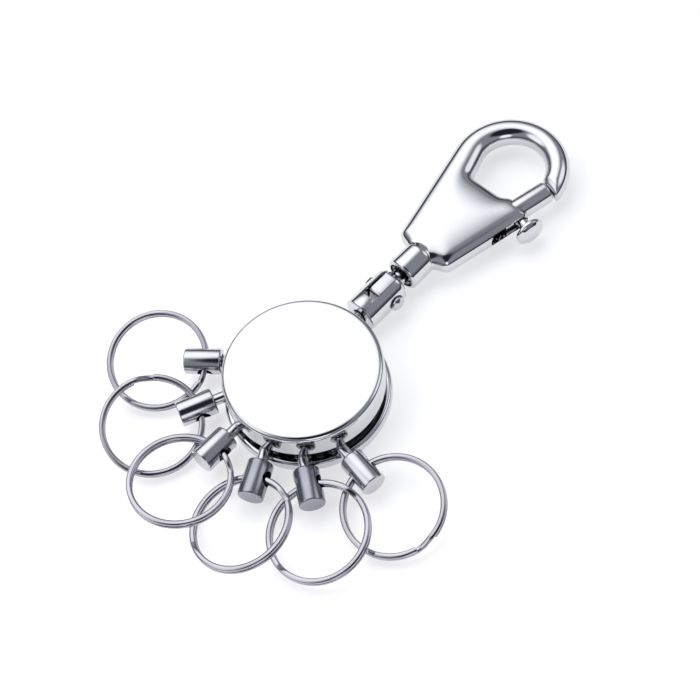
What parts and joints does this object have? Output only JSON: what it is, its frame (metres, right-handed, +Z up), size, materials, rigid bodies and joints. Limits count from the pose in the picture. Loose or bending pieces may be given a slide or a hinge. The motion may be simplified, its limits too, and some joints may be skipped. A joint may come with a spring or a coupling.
{
  "type": "key organiser",
  "caption": "Chrome pocket key organiser: a round disc body holds split rings on headed stems, with a clevis and a swivelling snap hook with a sliding bolt.",
  "frame": {"origin": "centre of the disc body's underside, on the disc axis, in the face of the release button", "axes": "+Z up out of the cover, along the disc axis; +X along the snap hook, from the disc towards the hook's loop"},
  "size_m": [0.113, 0.0756, 0.0108],
  "materials": {
    "mirror_chrome": "mirror-polished chrome plate",
    "satin_chrome": "turned and chrome plated, satin",
    "ring_steel": "nickel-plated spring steel, lightly brushed",
    "dark_steel": "dark phosphated steel",
    "spring_steel": "bright spring wire"
  },
  "bodies": {
    "base": {"base_plate": "mirror_chrome", "cage_ring": "dark_steel", "cover_spring": "spring_steel"},
    "cover": {"cover_shell": "mirror_chrome", "centre_post": "satin_chrome", "release_button": "mirror_chrome"},
    "carrier_1": {"ring_stem_1": "satin_chrome", "ring_barrel_1": "satin_chrome"},
    "ring_1": {"split_ring_1": "ring_steel"},
    "carrier_2": {"ring_stem_2": "satin_chrome", "ring_barrel_2": "satin_chrome"},
    "ring_2": {"split_ring_2": "ring_steel"},
    "carrier_3": {"ring_stem_3": "satin_chrome", "ring_barrel_3": "satin_chrome"},
    "ring_3": {"split_ring_3": "ring_steel"},
    "carrier_4": {"ring_stem_4": "satin_chrome", "ring_barrel_4": "satin_chrome"},
    "ring_4": {"split_ring_4": "ring_steel"},
    "carrier_5": {"ring_stem_5": "satin_chrome", "ring_barrel_5": "satin_chrome"},
    "ring_5": {"split_ring_5": "ring_steel"},
    "carrier_6": {"ring_stem_6": "satin_chrome", "ring_barrel_6": "satin_chrome"},
    "ring_6": {"split_ring_6": "ring_steel"},
    "clevis": {"clevis_stem": "satin_chrome", "clevis_body": "mirror_chrome", "clevis_pin": "satin_chrome"},
    "swivel": {"swivel_stud": "satin_chrome"},
    "hook": {"hook_body": "mirror_chrome", "gate_spring": "spring_steel"},
    "gate": {"gate_bolt": "mirror_chrome", "thumb_knob": "mirror_chrome"}
  },
  "joints": [
    {"name": "cover_lift", "type": "slide", "parent": "base", "child": "cover", "axis": [0, 0, 1], "range_m": [0, 0.0015], "stiffness_N_per_m": 1500, "springref_m": -0.004, "deforming": ["cover_spring"]},
    {"name": "carrier_1_swing", "type": "hinge", "parent": "base", "child": "carrier_1", "pos_m": [-0.00289, 0.01196, 0.00387], "axis": [0, 0, 1], "range_deg": [-2.5, 2.5]},
    {"name": "ring_1_spin", "type": "hinge", "parent": "carrier_1", "child": "ring_1", "pos_m": [-0.01411, 0.02631, 0.00356], "axis": [-0.2011, -0.1356, 0.9701], "continuous": true},
    {"name": "carrier_2_swing", "type": "hinge", "parent": "base", "child": "carrier_2", "pos_m": [-0.00828, 0.0091, 0.00387], "axis": [0, 0, 1], "range_deg": [-2.5, 2.5]},
    {"name": "ring_2_spin", "type": "hinge", "parent": "carrier_2", "child": "ring_2", "pos_m": [-0.02473, 0.01694, 0.00356], "axis": [-0.1194, -0.2111, 0.9701], "continuous": true},
    {"name": "carrier_3_swing", "type": "hinge", "parent": "base", "child": "carrier_3", "pos_m": [-0.01163, 0.004, 0.00387], "axis": [0, 0, 1], "range_deg": [-2.5, 2.5]},
    {"name": "ring_3_spin", "type": "hinge", "parent": "carrier_3", "child": "ring_3", "pos_m": [-0.0298, 0.0037, 0.00516], "axis": [0.0865, 0.0364, 0.9956], "continuous": true},
    {"name": "carrier_4_swing", "type": "hinge", "parent": "base", "child": "carrier_4", "pos_m": [-0.01212, -0.00207, 0.00387], "axis": [0, 0, 1], "range_deg": [-2.5, 2.5]},
    {"name": "ring_4_spin", "type": "hinge", "parent": "carrier_4", "child": "ring_4", "pos_m": [-0.02832, -0.01042, 0.00356], "axis": [-0.1107, 0.2149, 0.9703], "continuous": true},
    {"name": "carrier_5_swing", "type": "hinge", "parent": "base", "child": "carrier_5", "pos_m": [-0.00964, -0.00764, 0.00387], "axis": [0, 0, 1], "range_deg": [-2.5, 2.5]},
    {"name": "ring_5_spin", "type": "hinge", "parent": "carrier_5", "child": "ring_5", "pos_m": [-0.02029, -0.02241, 0.00324], "axis": [-0.1986, 0.0801, 0.9768], "continuous": true},
    {"name": "carrier_6_swing", "type": "hinge", "parent": "base", "child": "carrier_6", "pos_m": [-0.00479, -0.01133, 0.00387], "axis": [0, 0, 1], "range_deg": [-2.5, 2.5]},
    {"name": "ring_6_spin", "type": "hinge", "parent": "carrier_6", "child": "ring_6", "pos_m": [-0.00772, -0.0293, 0.00324], "axis": [-0.2135, -0.0169, 0.9768], "continuous": true},
    {"name": "clevis_swing", "type": "hinge", "parent": "base", "child": "clevis", "pos_m": [0.01194, 0.00295, 0.00387], "axis": [0, 0, 1], "range_deg": [-24, 32]},
    {"name": "clevis_hinge", "type": "hinge", "parent": "clevis", "child": "swivel", "pos_m": [0.0245, 0.00295, 0.00387], "axis": [0, 1, 0], "range_deg": [-80, 80]},
    {"name": "hook_swivel", "type": "hinge", "parent": "swivel", "child": "hook", "pos_m": [0.032, 0.00295, 0.00387], "axis": [1, 0, 0], "continuous": true},
    {"name": "gate_slide", "type": "slide", "parent": "hook", "child": "gate", "axis": [-0.9733, 0.2297, 0], "range_m": [0, 0.006], "stiffness_N_per_m": 400, "springref_m": -0.004, "deforming": ["gate_spring"]}
  ]
}
